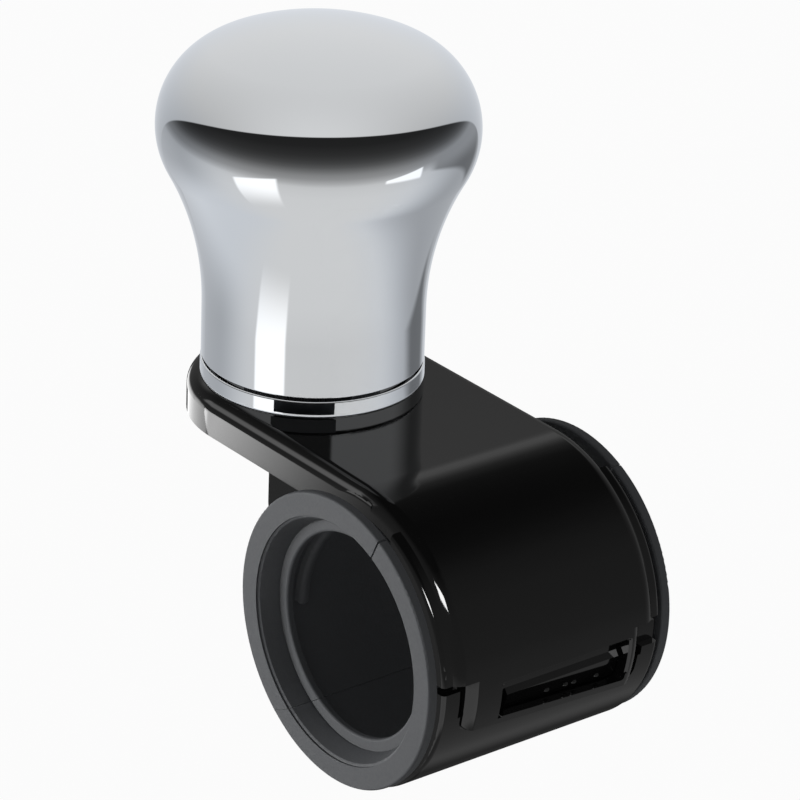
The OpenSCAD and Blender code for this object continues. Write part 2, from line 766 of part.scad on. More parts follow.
// Spindle and what clamps it to the arm
module base_ring() {
    color("#c9ccd0") on_knob() rotate_extrude() {
        edged_band(base_ring_r - base_ring_w, base_ring_r, 0, base_ring_h, base_edge_r);
        translate([screw_r + screw_hole_gap, 0])
            square([base_ring_r - base_ring_w / 2 - screw_r - screw_hole_gap, base_floor_t]);
    }
}
module dust_seal() {
    color("#2b2b2d") on_knob() translate([0, 0, base_floor_t]) rotate_extrude()
        translate([seal_inner_r, 0]) square([seal_w, knob_foot - base_floor_t - shell_gap]);
}
module spindle() {
    color("#9da1a6") on_knob() difference() {
        union() {
            translate([0, 0, base_floor_t]) linear_extrude(foot_h) hex(foot_flats);
            translate([0, 0, base_floor_t]) cylinder(h = lower_bearing_z - base_floor_t, r = collar_r);
            cylinder_from(base_floor_t, spindle_top - spindle_tip, spindle_r);
            translate([0, 0, spindle_top - spindle_tip])
                cylinder(h = spindle_tip, r1 = spindle_r, r2 = spindle_r - spindle_tip);
        }
        cylinder_from(base_floor_t - past, screw_top_z + 1, screw_r + fit_gap);
    }
}
module cylinder_from(z0, z1, r) {
    translate([0, 0, z0]) cylinder(h = z1 - z0, r = r);
}
module spindle_screw() {
    color("#6f7378") on_knob() difference() {
        union() {
            cylinder_from(screw_under_z - screw_head_h, screw_under_z, screw_head_r);
            cylinder_from(screw_under_z - past, screw_top_z, screw_r);
        }
        translate([0, 0, screw_under_z - screw_head_h - past])
            cylinder(h = past + 0.6 * screw_head_h, r = socket_r, $fn = 6);
    }
}
module lock_washer() {
    color("#7d8186") on_knob() difference() {
        cylinder_from(screw_under_z, screw_under_z + lock_washer_t, screw_head_r - screw_hole_gap);
        cylinder_from(screw_under_z - past, screw_under_z + lock_washer_t + past, screw_r + screw_hole_gap / 2);
        translate([0, -lock_washer_split / 2, screw_under_z - past])
            cube([far, lock_washer_split, lock_washer_t + 2 * past]);
    }
}
module flat_washer() {
    color("#a9adb2") on_knob() difference() {
        cylinder_from(screw_seat_z - flat_washer_t, screw_seat_z, flat_washer_r);
        cylinder_from(screw_seat_z - flat_washer_t - past, screw_seat_z + past, screw_r + screw_hole_gap);
    }
}
module bearing_spacer() {
    color("#b9bcc0") on_knob() difference() {
        cylinder_from(lower_bearing_top, upper_bearing_z, race_bore_r + spacer_wall);
        cylinder_from(lower_bearing_top - past, upper_bearing_z + past, race_bore_r);
    }
}
module top_washer() {
    color("#a9adb2") on_knob() difference() {
        cylinder_from(upper_bearing_top, nut_z, top_washer_r);
        cylinder_from(upper_bearing_top - past, nut_z + past, race_bore_r);
    }
}
module top_nut() {
    color("#8d9196") on_knob() difference() {
        intersection() {
            translate([0, 0, nut_z]) linear_extrude(nut_h) hex(nut_flats);
            cylinder_from(nut_z, nut_z + nut_h, 0.56 * nut_flats);
        }
        cylinder_from(nut_z - past, nut_z + nut_h + past, race_bore_r);
    }
}

// Ball bearings: the inner race stays with the spindle and the outer race turns with the knob
module inner_race(z) {
    color("#b4b8bd") on_knob() translate([0, 0, z]) rotate_extrude() difference() {
        translate([race_bore_r, 0]) square([race_wall, bearing_w]);
        translate([pitch_r, bearing_w / 2]) circle(groove_r);
    }
}
module outer_race(z) {
    color("#b4b8bd") on_knob() translate([0, 0, z]) rotate_extrude() difference() {
        edged_band(race_outer_r - race_wall, race_outer_r, 0, bearing_w, race_edge_r);
        translate([pitch_r, bearing_w / 2]) circle(groove_r);
    }
}
module balls(z, r) {
    on_knob() for (i = [0 : ball_n - 1]) rotate([0, 0, 360 / ball_n * (i + 0.5)])
        translate([pitch_r, 0, z + bearing_w / 2]) sphere(r);
}
module cage(z) {
    color("#b08d57") difference() {
        on_knob() translate([0, 0, z + (bearing_w - cage_w) / 2]) rotate_extrude()
            translate([pitch_r - cage_t / 2, 0]) square([cage_t, cage_w]);
        for (i = [0 : ball_n - 1]) on_knob() rotate([0, 0, 360 / ball_n * (i + 0.5)])
            translate([pitch_r - cage_t, 0, z + bearing_w / 2]) rotate([0, 90, 0])
                cylinder(h = 2 * cage_t, r = ball_r + 2 * ball_gap);
    }
}

// Knob
module core_profile() {
    bottom = knob_foot;
    top = upper_bearing_top + core_lip;
    seat_r = race_outer_r + fit_gap;
    difference() {
        union() {
            translate([core_shoulder_r, bottom]) square([race_outer_r + core_wall - core_shoulder_r, top - bottom]);
            translate([core_shoulder_r, bottom])
                square([knob_base_r - knob_wall - core_gap - core_shoulder_r, core_flange_h]);
        }
        translate([0, bottom - past]) square([seat_r, lower_bearing_top - bottom + past]);
        translate([0, upper_bearing_z]) square([seat_r, far]);
        translate([0, lower_bearing_z - circlip_t]) square([seat_r + circlip_depth, circlip_t]);
    }
}
module knob_core() {
    rib_from = race_outer_r + core_wall / 2;
    color("#d8d5cc") on_knob() {
        rotate_extrude() core_profile();
        intersection() {
            rotate_extrude() knob_half_outline(knob_wall + core_gap, knob_foot);
            for (i = [0 : core_rib_n - 1]) rotate([0, 0, 360 / core_rib_n * i])
                translate([rib_from, -core_rib / 2, knob_foot])
                    cube([far, core_rib, upper_bearing_top + core_lip - knob_foot]);
        }
    }
}
module bearing_circlip() {
    color("#5d6166") on_knob() difference() {
        cylinder_from(lower_bearing_z - circlip_t, lower_bearing_z, race_outer_r + circlip_depth);
        cylinder_from(lower_bearing_z - circlip_t - past, lower_bearing_z + past, race_outer_r - circlip_w);
        translate([0, 0, lower_bearing_z - circlip_t - past]) linear_extrude(circlip_t + 2 * past)
            wedge(-circlip_mouth / 2, circlip_mouth / 2);
    }
}
module knob_shell() {
    color("#d3d6da") on_knob() rotate_extrude() difference() {
        knob_half_outline(0, knob_foot);
        knob_half_outline(knob_wall, knob_foot - past);
    }
}

upper_shell();
lower_jaw();
upper_liner();
lower_liner();
hinge_pin();
base_ring();
spindle();
spindle_screw();
lock_washer();
flat_washer();
dust_seal();
inner_race(lower_bearing_z);  // lower_inner_race
outer_race(lower_bearing_z);  // lower_outer_race
color("#c8ccd1") balls(lower_bearing_z, ball_r);  // lower_balls
cage(lower_bearing_z);  // lower_cage
bearing_spacer();
inner_race(upper_bearing_z);  // upper_inner_race
outer_race(upper_bearing_z);  // upper_outer_race
color("#c8ccd1") balls(upper_bearing_z, ball_r);  // upper_balls
cage(upper_bearing_z);  // upper_cage
top_washer();
top_nut();
bearing_circlip();
knob_core();
knob_shell();
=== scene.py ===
# %% [markdown]
# A steering wheel spinner knob: a chromed knob that turns on two ball bearings, on the arm of a hinged clamp
# of gloss black plastic, lined with two soft half bushes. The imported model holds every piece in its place, so
# this lesson gives each one its finish, remakes the mirror-like shell where facets would show, and lights the
# room that the chrome mirrors. Lengths below are in millimetres and are scaled once, where a mesh is made.

# %% Load the model
import json
import math

import bmesh
import bpy
from mathutils import Matrix, Vector


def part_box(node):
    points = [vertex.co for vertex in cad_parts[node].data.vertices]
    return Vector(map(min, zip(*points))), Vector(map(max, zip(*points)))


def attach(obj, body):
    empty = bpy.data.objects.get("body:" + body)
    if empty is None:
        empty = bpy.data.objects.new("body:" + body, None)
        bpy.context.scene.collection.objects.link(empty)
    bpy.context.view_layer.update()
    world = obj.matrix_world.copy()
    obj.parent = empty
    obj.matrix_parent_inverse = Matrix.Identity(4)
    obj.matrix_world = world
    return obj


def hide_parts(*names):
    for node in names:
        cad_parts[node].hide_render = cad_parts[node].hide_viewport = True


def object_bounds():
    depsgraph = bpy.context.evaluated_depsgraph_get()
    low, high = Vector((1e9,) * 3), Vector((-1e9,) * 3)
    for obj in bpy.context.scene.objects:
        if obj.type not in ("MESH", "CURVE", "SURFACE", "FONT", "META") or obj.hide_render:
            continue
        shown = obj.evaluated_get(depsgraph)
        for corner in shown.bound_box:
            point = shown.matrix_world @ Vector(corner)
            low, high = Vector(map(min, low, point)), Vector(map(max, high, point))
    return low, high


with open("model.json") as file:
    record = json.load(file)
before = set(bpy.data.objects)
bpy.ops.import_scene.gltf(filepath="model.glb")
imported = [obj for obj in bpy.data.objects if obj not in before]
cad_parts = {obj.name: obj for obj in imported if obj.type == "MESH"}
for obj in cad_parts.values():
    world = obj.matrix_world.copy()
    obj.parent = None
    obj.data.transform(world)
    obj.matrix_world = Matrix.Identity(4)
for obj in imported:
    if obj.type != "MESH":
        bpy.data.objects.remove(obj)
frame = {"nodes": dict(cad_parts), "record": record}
cad_box = [list(corner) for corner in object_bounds()]
MM = 0.001

# %% [markdown]
# The camera stands in front of the hooked side, a little above the arm, far away with a long lens, so the
# knob's sides stay almost parallel. Its place was found by fitting the circles of the clamp's mouth, flange
# and knob, and it is rolled by two degrees as a hand-held picture is. The picture is square, 800 pixels wide.

# %% Camera
IMAGE_SIDE = 800
FOCAL_PIXELS = 4693.2
SENSOR_MM = 36.0
AIM = Vector((-14.39, 0.0, 26.53)) * MM
CAMERA_AZIMUTH = math.radians(51.243)
CAMERA_ELEVATION = math.radians(25.107)
CAMERA_ROLL = math.radians(2.088)
CAMERA_DISTANCE = 677.4 * MM
NEAREST, FARTHEST = 10.0 * MM, 20000.0 * MM

right = Vector((math.cos(CAMERA_AZIMUTH), math.sin(CAMERA_AZIMUTH), 0.0))
back = Vector((math.sin(CAMERA_AZIMUTH) * math.cos(CAMERA_ELEVATION),
               -math.cos(CAMERA_AZIMUTH) * math.cos(CAMERA_ELEVATION),
               math.sin(CAMERA_ELEVATION)))
up = back.cross(right)
rolled_right = right * math.cos(CAMERA_ROLL) + up * math.sin(CAMERA_ROLL)
rolled_up = up * math.cos(CAMERA_ROLL) - right * math.sin(CAMERA_ROLL)
camera = bpy.data.objects.new("camera", bpy.data.cameras.new("camera"))
camera.data.sensor_width = SENSOR_MM
camera.data.lens = FOCAL_PIXELS / IMAGE_SIDE * SENSOR_MM
camera.data.clip_start = NEAREST
camera.data.clip_end = FARTHEST
turn = Matrix((rolled_right, rolled_up, back)).transposed()
camera.matrix_world = Matrix.Translation(AIM + back * CAMERA_DISTANCE) @ turn.to_4x4()
bpy.context.scene.collection.objects.link(camera)
bpy.context.scene.camera = camera
bpy.context.scene.view_settings.view_transform = "Standard"
print("camera at", [round(x, 4) for x in camera.matrix_world.translation])

# %% [markdown]
# Colours are written as sRGB hex values, as a paint chart gives them, and Blender mixes light in linear
# values, so one function turns the first into the second. A second small function adds a node to a tree, sets
# it up and links what is passed by the name or number of its input, so a material reads as a short list.

# %% Colour and node helpers
def to_linear(hex_colour):
    parts = [int(hex_colour[i:i + 2], 16) / 255 for i in (1, 3, 5)]
    return tuple(p / 12.92 if p <= 0.04045 else ((p + 0.055) / 1.055) ** 2.4 for p in parts) + (1.0,)


def add_node(tree, kind, inputs=None, **settings):
    node = tree.nodes.new(kind)
    for name, value in settings.items():
        setattr(node, name, value)
    for name, value in (inputs or {}).items():
        if isinstance(value, bpy.types.NodeSocket):
            tree.links.new(value, node.inputs[name])
        else:
            node.inputs[name].default_value = value
    return node


WHITE = (1.0, 1.0, 1.0, 1.0)
print("a mid grey in linear light:", round(to_linear("#808080")[0], 3))

# %% [markdown]
# A mirror shows the room, so most of the chrome's look is the room. It could be a picture wrapped around the
# scene, but a few sums do it without one: soft steps along an angle, blends between two levels of light, and
# ramps that give the level against the elevation. These helpers write such sums as world nodes.

# %% Helpers for a room made of soft steps
RAMP_FROM, RAMP_TO = -60.0, 60.0
world = bpy.data.worlds.new("tent")
bpy.context.scene.world = world
world.use_nodes = True
room = world.node_tree
room.nodes.clear()


def maths(operation, first, second=0.0, third=0.0):
    inputs = {0: first, 1: second}
    if operation == "MULTIPLY_ADD":
        inputs[2] = third
    return add_node(room, "ShaderNodeMath", inputs, operation=operation).outputs[0]


def step_up(value, low, high):
    limits = {"Value": value, "From Min": low, "From Max": high}
    return add_node(room, "ShaderNodeMapRange", limits, interpolation_type="SMOOTHSTEP").outputs[0]


def between(value, low, high, soft):
    rising = step_up(value, low - soft, low + soft)
    falling = step_up(value, high + soft, high - soft)
    return maths("MULTIPLY", rising, falling)


def blend_to(base, target, share):
    return maths("MULTIPLY_ADD", share, maths("SUBTRACT", target, base), base)


def levels_along(value, stops):
    limits = {"Value": value, "From Min": RAMP_FROM, "From Max": RAMP_TO}
    place = add_node(room, "ShaderNodeMapRange", limits).outputs[0]
    ramp = add_node(room, "ShaderNodeValToRGB", {0: place})
    elements = ramp.color_ramp.elements
    elements.remove(elements[1])
    for degrees, level in stops:
        stop = elements.new((degrees - RAMP_FROM) / (RAMP_TO - RAMP_FROM))
        stop.color = (level, level, level, 1.0)
    elements.remove(elements[0])
    return ramp.outputs["Color"]


print("the room is empty:", len(room.nodes) == 0)

# %% [markdown]
# Every light in the room is placed by two angles: the azimuth, which is 0 towards the camera and negative at
# the picture's left, and the elevation above the bench. Both come from the direction that a ray looks in,
# turned so that its X points towards the camera's side.

# %% Directions in the room
camera_heading = CAMERA_AZIMUTH - math.pi / 2
direction = add_node(room, "ShaderNodeTexCoord").outputs["Generated"]
turned = add_node(room, "ShaderNodeVectorRotate", {"Vector": direction, "Angle": -camera_heading},
                  rotation_type="Z_AXIS").outputs[0]
parts = add_node(room, "ShaderNodeSeparateXYZ", {0: turned})
azimuth = maths("DEGREES", maths("ARCTAN2", parts.outputs["Y"], parts.outputs["X"]))
elevation = maths("DEGREES", maths("ARCSINE", parts.outputs["Z"]))
away = maths("ABSOLUTE", azimuth)
print("the camera's side looks along", round(math.degrees(camera_heading), 1), "degrees")

# %% [markdown]
# A white tent is above and behind the knob, and the side where the camera stands is open and dark. The upper
# edge of that opening makes the sharp top of the dark smile on the knob's shoulder. It is highest straight
# ahead and comes down to the bench at the sides.

# %% Tent and opening
OPENING_TOP, OPENING_FALL = 41.0, 34.5
OPENING_HALF, OPENING_MIDDLE = 110.0, 5.0
EDGE_SOFT = 0.7
TENT_LEVEL, TENT_HIGHER, TENT_AHEAD = 0.66, 0.34, 0.32

side = maths("DIVIDE", maths("SUBTRACT", azimuth, OPENING_MIDDLE), OPENING_HALF)
side_squared = maths("MULTIPLY", side, side)
edge = maths("MULTIPLY_ADD", side_squared, -OPENING_FALL, OPENING_TOP)
tent_share = step_up(maths("SUBTRACT", elevation, edge), -EDGE_SOFT, EDGE_SOFT)
ahead_squared = maths("MULTIPLY", parts.outputs["X"], parts.outputs["X"])
tent = maths("MULTIPLY_ADD", parts.outputs["Z"], TENT_HIGHER, TENT_LEVEL)
tent = maths("MULTIPLY_ADD", ahead_squared, TENT_AHEAD, tent)
print("tent nodes:", len(room.nodes))

# %% [markdown]
# Inside the opening the bench comes up from dark to white towards the knob's foot. That is a ramp of light
# level against elevation, which changes faster at the sides. A grey screen stands at the right, and both
# sides are a little darker than the middle, which rounds the neck.

# %% Bench, grey screen and shaded sides
SIDE_SQUEEZE, SIDE_LIFT = 0.7, 4.0
SCREEN_LEVEL, SCREEN_FROM, SCREEN_TO, SCREEN_SOFT = 0.42, 88, 150, 6
SCREEN_SLOPE = 0.2
RIGHT_DARKER, LEFT_DARKER = 0.45, 0.36

squeeze = maths("MULTIPLY_ADD", side_squared, SIDE_SQUEEZE, 1.0)
height = maths("MULTIPLY_ADD", elevation, squeeze, maths("MULTIPLY", side_squared, SIDE_LIFT))
bench = levels_along(height, [(-59, 1.02), (-40, 1.01), (-28, 0.96), (-23, 0.91), (-18, 0.67),
                              (-12, 0.46), (-7, 0.375), (-2, 0.25), (3, 0.147), (8, 0.091),
                              (13, 0.061), (18, 0.044), (23, 0.036), (30, 0.026), (45, 0.022)])
above_slope = step_up(maths("MULTIPLY_ADD", azimuth, SCREEN_SLOPE, elevation), -3.5, 0.0)
screen_height = maths("MULTIPLY", above_slope, step_up(elevation, -5, -9))
grey_screen = maths("MULTIPLY", between(azimuth, SCREEN_FROM, SCREEN_TO, SCREEN_SOFT), screen_height)
bench = blend_to(bench, SCREEN_LEVEL, grey_screen)
right_shade = maths("MULTIPLY", step_up(azimuth, 70, 132), step_up(elevation, -12, -24))
bench = maths("MULTIPLY", bench, maths("MULTIPLY_ADD", right_shade, -RIGHT_DARKER, 1.0))
left_shade = maths("MULTIPLY", step_up(azimuth, -62, -114), step_up(elevation, -48, -24))
bench = maths("MULTIPLY", bench, maths("MULTIPLY_ADD", left_shade, -LEFT_DARKER, 1.0))
print("bench nodes:", len(room.nodes))

# %% [markdown]
# Two bright cards give the chrome its white patches: a wide one at the left, which fades downwards, and a
# small one at the right. Their upper edges slope. Light from the sides is a little cool, so the tint changes
# with the direction too.

# %% Bright cards and tint
LEFT_CARD_LEVEL, LEFT_CARD_FROM, LEFT_CARD_TO = 1.78, -60, -27
LEFT_CARD_SLOPE, LEFT_CARD_TOP = 0.22, -9.4
RIGHT_CARD_LEVEL, RIGHT_CARD_FROM, RIGHT_CARD_TO = 1.75, 50, 78
RIGHT_CARD_SLOPE, RIGHT_CARD_TOP = 0.24, -31.2

left_top = maths("SUBTRACT", elevation, maths("MULTIPLY_ADD", azimuth, LEFT_CARD_SLOPE, LEFT_CARD_TOP))
left_fade = maths("MULTIPLY", step_up(left_top, 1.2, -1.2), step_up(elevation, -56, -25))
left_card = maths("MULTIPLY", between(azimuth, LEFT_CARD_FROM, LEFT_CARD_TO, 1.5), left_fade)
bench = blend_to(bench, LEFT_CARD_LEVEL, left_card)
right_top = maths("SUBTRACT", elevation, maths("MULTIPLY_ADD", azimuth, RIGHT_CARD_SLOPE, RIGHT_CARD_TOP))
right_fade = maths("MULTIPLY", step_up(right_top, 0.8, -0.8), step_up(elevation, -24.2, -21))
right_card = maths("MULTIPLY", between(azimuth, RIGHT_CARD_FROM, RIGHT_CARD_TO, 1.2), right_fade)
bench = blend_to(bench, RIGHT_CARD_LEVEL, right_card)
level = blend_to(bench, tent, tent_share)
cool_share = maths("MULTIPLY", step_up(away, 35, 110), step_up(elevation, 30, -10))
tint = add_node(room, "ShaderNodeMix", {"Factor": cool_share, "A": WHITE, "B": to_linear("#f5f9ff")},
                data_type="RGBA").outputs["Result"]
mirrored = add_node(room, "ShaderNodeVectorMath", {0: tint, 1: level}, operation="MULTIPLY").outputs[0]
print("nodes for the chrome's room:", len(room.nodes))

# %% [markdown]
# Black gloss plastic sends back only a few hundredths of the light, and in the photo it shows a much darker
# room than the chrome does: such pictures are finished piece by piece. So the plastic gets a plainer room of
# its own. It is dark at the sides, with a soft glow high behind, and has three bright sheets: one low in
# front, one low at the left and behind, and a narrow one at the left.

# %% The room that the plastic mirrors
LOW_FRONT_LEVEL, LEFT_WALL_LEVEL, LEFT_LINE_LEVEL = 1.0, 2.7, 1.7

sides = levels_along(elevation, [(-59, 0.26), (-46, 0.27), (-35, 0.26), (-18, 0.25), (-9, 0.22),
                                 (24, 0.19), (38, 0.14), (50, 0.05), (56, 0.02)])
behind = levels_along(elevation, [(-50, 0.05), (-30, 0.03), (0, 0.17), (24, 0.24), (28, 0.36), (31, 0.6),
                                  (34, 0.6), (37, 0.36), (40, 0.17), (45, 0.06), (55, 0.02)])
plain = blend_to(sides, behind, step_up(away, 135, 165))
low_front = maths("MULTIPLY", between(azimuth, -75, 55, 6), between(elevation, -52, -22, 6))
plain = blend_to(plain, LOW_FRONT_LEVEL, low_front)
left_wall = maths("MULTIPLY", between(azimuth, -160, -110, 2), between(elevation, -46, -8, 6))
plain = blend_to(plain, LEFT_WALL_LEVEL, left_wall)
left_line = maths("MULTIPLY", between(azimuth, -112, -91, 3), between(elevation, 10, 30, 5))
plain = blend_to(plain, LEFT_LINE_LEVEL, left_line)
print("nodes with the plastic's room:", len(room.nodes))

# %% [markdown]
# A ray that leaves a perfect mirror straight after the camera sees the chrome's room, and other glossy rays
# see the plain one. A ray that is mirrored twice belongs to the knob's image in the arm, which has two bright
# sides with a dark strip between them. Matt surfaces get even light, and the camera itself sees white.

# %% Which ray sees which room
SOFT_LEVEL = 0.22
KNOB_IMAGE_LEVEL, DARK_STRIP_LEVEL = 0.78, 0.06
# The glossy depth is 1 after one mirror and 2 after two, and this lies between
ONE_MIRROR = 1.5

paths = add_node(room, "ShaderNodeLightPath")
once = maths("LESS_THAN", paths.outputs["Glossy Depth"], ONE_MIRROR)
first_mirror = maths("MULTIPLY", paths.outputs["Is Singular Ray"], once)
front = maths("MULTIPLY", between(azimuth, -84, 110, 20), between(elevation, 4, 38, 6))
knob_image = blend_to(plain, KNOB_IMAGE_LEVEL, front)
knob_image = blend_to(knob_image, DARK_STRIP_LEVEL, between(azimuth, -34, 23, 2))
plain = blend_to(knob_image, plain, once)
in_gloss = add_node(room, "ShaderNodeMix", {"Factor": first_mirror, "A": plain, "B": mirrored},
                    data_type="RGBA").outputs["Result"]
glossy = maths("MAXIMUM", paths.outputs["Is Glossy Ray"], paths.outputs["Is Transmission Ray"])
soft = add_node(room, "ShaderNodeBackground", {"Color": WHITE, "Strength": SOFT_LEVEL}).outputs[0]
seen_in_gloss = add_node(room, "ShaderNodeBackground", {"Color": in_gloss, "Strength": 1.0}).outputs[0]
seen_by_camera = add_node(room, "ShaderNodeBackground", {"Color": WHITE, "Strength": 1.0}).outputs[0]
lit = add_node(room, "ShaderNodeMixShader", {0: glossy, 1: soft, 2: seen_in_gloss}).outputs[0]
shown = add_node(room, "ShaderNodeMixShader", {0: paths.outputs["Is Camera Ray"], 1: lit,
                                               2: seen_by_camera}).outputs[0]
add_node(room, "ShaderNodeOutputWorld", {"Surface": shown})
print("nodes for both rooms:", len(room.nodes))

# %% [markdown]
# The floor is a plain pale sheet. The camera sees it as white with a faint shadow, and from below it is
# clear. It lies far enough under the clamp for the open jaw to hang above it. It is left out for mirror rays,
# because the bench is already part of the rooms above.

# %% Floor
FLOOR_HALF, JAW_ROOM = 1500.0, 32.0
FLOOR_WHITE_SHARE = 0.96

floor_z = cad_box[0][2] - JAW_ROOM * MM
sheet = bmesh.new()
bmesh.ops.create_grid(sheet, x_segments=1, y_segments=1, size=FLOOR_HALF * MM,
                      matrix=Matrix.Translation((0.0, 0.0, floor_z)))
floor = bpy.data.objects.new("floor", bpy.data.meshes.new("floor"))
sheet.to_mesh(floor.data)
sheet.free()
bpy.context.scene.collection.objects.link(floor)

paper = bpy.data.materials.new("pale_paper")
paper.use_nodes = True
tree = paper.node_tree
tree.nodes.clear()
paths = add_node(tree, "ShaderNodeLightPath")
chalk = add_node(tree, "ShaderNodeBsdfDiffuse", {"Color": to_linear("#f4f4f4")}).outputs[0]
white = add_node(tree, "ShaderNodeEmission", {"Color": WHITE, "Strength": 1.0}).outputs[0]
clear = add_node(tree, "ShaderNodeBsdfTransparent").outputs[0]
white_share = add_node(tree, "ShaderNodeMath", {0: paths.outputs["Is Camera Ray"], 1: FLOOR_WHITE_SHARE},
                       operation="MULTIPLY").outputs[0]
from_below = add_node(tree, "ShaderNodeNewGeometry").outputs["Backfacing"]
clear_share = add_node(tree, "ShaderNodeMath", {0: paths.outputs["Is Glossy Ray"], 1: from_below},
                       operation="MAXIMUM").outputs[0]
face = add_node(tree, "ShaderNodeMixShader", {0: white_share, 1: chalk, 2: white}).outputs[0]
sheet_face = add_node(tree, "ShaderNodeMixShader", {0: clear_share, 1: face, 2: clear}).outputs[0]
add_node(tree, "ShaderNodeOutputMaterial", {"Surface": sheet_face})
floor.data.materials.append(paper)
print("floor at", round(floor_z / MM, 2), "mm")

# %% [markdown]
# Every finish starts the same way: one Principled shader on the piece's own object coordinates. A noise whose
# scale is worked out from a size in millimetres makes small changes of roughness, and a second one makes the
# faint bump that moulding, plating or machining leaves. A finish can also have small paler specks, or be
# clear to rays that come from a perfect mirror.

# %% Material helper
# Most of the noise lies between these two values
GRAIN_LOW, GRAIN_HIGH = 0.3, 0.7

# A speck has its full colour inside this share of its radius
SPECK_CORE = 0.6


def per_metre(millimetres):
    return 1.0 / (millimetres * MM)


def finish_of(name, hex_colour, roughness, metallic=0.0, ior=1.5, grain_mm=1.0, grain_share=0.1,
              bump_mm=0.0, bump_size_mm=1.0, speck_hex=None, speck_mm=1.0, speck_share=0.0,
              clear_to_chrome=False):
    material = bpy.data.materials.new(name)
    material.use_nodes = True
    tree = material.node_tree
    shader = tree.nodes["Principled BSDF"]
    shader.inputs["Base Color"].default_value = to_linear(hex_colour)
    shader.inputs["Metallic"].default_value = metallic
    if not metallic:
        shader.inputs["IOR"].default_value = ior
    place = add_node(tree, "ShaderNodeTexCoord").outputs["Object"]
    grain = add_node(tree, "ShaderNodeTexNoise", {"Vector": place, "Scale": per_metre(grain_mm),
                                                  "Detail": 3.0}).outputs["Fac"]
    spread = add_node(tree, "ShaderNodeMapRange", {"Value": grain, "From Min": GRAIN_LOW,
                                                   "From Max": GRAIN_HIGH,
                                                   "To Min": roughness * (1 - grain_share),
                                                   "To Max": roughness * (1 + grain_share)}).outputs[0]
    tree.links.new(spread, shader.inputs["Roughness"])
    if bump_mm:
        relief = add_node(tree, "ShaderNodeTexNoise", {"Vector": place, "Scale": per_metre(bump_size_mm),
                                                       "Detail": 2.0}).outputs["Fac"]
        bump = add_node(tree, "ShaderNodeBump", {"Height": relief, "Strength": 1.0,
                                                 "Distance": bump_mm * MM}).outputs[0]
        tree.links.new(bump, shader.inputs["Normal"])
    if speck_hex:
        dots = add_node(tree, "ShaderNodeTexVoronoi", {"Vector": place, "Scale": per_metre(speck_mm)})
        few = add_node(tree, "ShaderNodeMapRange", {"Value": dots.outputs["Distance"],
                                                    "From Min": speck_share,
                                                    "From Max": speck_share * SPECK_CORE}).outputs[0]
        colour = add_node(tree, "ShaderNodeMix", {"Factor": few, "A": to_linear(hex_colour),
                                                  "B": to_linear(speck_hex)}, data_type="RGBA")
        tree.links.new(colour.outputs["Result"], shader.inputs["Base Color"])
    if clear_to_chrome:
        mirror_ray = add_node(tree, "ShaderNodeLightPath").outputs["Is Singular Ray"]
        clear = add_node(tree, "ShaderNodeBsdfTransparent").outputs[0]
        seen = add_node(tree, "ShaderNodeMixShader", {0: mirror_ray, 1: shader.outputs[0], 2: clear})
        tree.links.new(seen.outputs[0], tree.nodes["Material Output"].inputs["Surface"])
    return material


print("a grain of 0.5 mm has", round(per_metre(0.5)), "to the metre")

# %% [markdown]
# The outside has three finishes. Chrome is plated on a polished shell, the clamp is moulded in ABS in a
# polished tool, and the half bushes are soft PVC from a matt tool. The metal keeps the default IOR, and the
# plastics get their own.

# %% Finishes of the outside
# Bright chrome plate: a true mirror, whose plating leaves a very slight waviness
chrome_plating = finish_of("chrome_plating", "#c7c9cb", 0.0, metallic=1.0, grain_mm=6.0, grain_share=0.3,
                           bump_mm=0.002, bump_size_mm=5.0)

# Injection moulded ABS, black: sharp but dim mirror images, bent a little by sink of the moulding
gloss_abs = finish_of("gloss_black_abs", "#090909", 0.06, ior=1.5, grain_mm=3.0, grain_share=0.25,
                      bump_mm=0.004, bump_size_mm=6.0, clear_to_chrome=True)

# Soft moulded PVC, dark grey: matt, with a fine tooth and here and there a paler grain of dust
soft_pvc = finish_of("matt_soft_pvc", "#5a5c5f", 0.62, ior=1.48, grain_mm=0.4, grain_share=0.12,
                     bump_mm=0.012, bump_size_mm=0.35, speck_hex="#6b6d70", speck_mm=2.6,
                     speck_share=0.035)
print("finishes of the outside:", chrome_plating.name, gloss_abs.name, soft_pvc.name)

# %% [markdown]
# The inside is only seen from below, with the jaw open, or when the part is taken apart. It still gets the
# finishes that the real pieces have, because the model is used without this picture too.

# %% Finishes of the inside
# Turned and zinc plated steel: satin, with fine marks of the tool
zinc_steel = finish_of("zinc_plated_steel", "#b4b6b9", 0.3, metallic=1.0, grain_mm=0.5, grain_share=0.3,
                       bump_mm=0.004, bump_size_mm=0.4)

# Ground bearing steel: nearly a mirror
ground_steel = finish_of("ground_bearing_steel", "#c4c6c9", 0.12, metallic=1.0, grain_mm=0.6,
                         grain_share=0.3)

# Pressed brass sheet: warm and satin
cage_brass = finish_of("pressed_brass", "#c79a4a", 0.28, metallic=1.0, grain_mm=0.7, grain_share=0.3)

# Moulded nylon in its natural colour: a soft shine on a slightly uneven face
natural_nylon = finish_of("moulded_nylon", "#ddd9cc", 0.5, ior=1.53, grain_mm=1.5, bump_mm=0.01,
                          bump_size_mm=0.8)

# Pressed wool felt: no shine, with a nap
wool_felt = finish_of("wool_felt", "#2a2a2c", 0.95, grain_mm=0.3, bump_mm=0.06, bump_size_mm=0.3)
print("materials:", len(bpy.data.materials))

# %% [markdown]
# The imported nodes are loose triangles. Their shapes are right, so they stay, and three modifiers only change
# how they are shaded: Weld joins the corners, Edge Split keeps hard edges hard, and Weighted Normal lets the
# large flat faces stay flat beside their rounded edges. The clamp is left out of the image in the knob,
# because the photo's knob doesn't show it either, though the arm mirrors the knob: the plastic is clear to
# rays that come straight from a perfect mirror, and the soft bushes are left out of mirrored images.

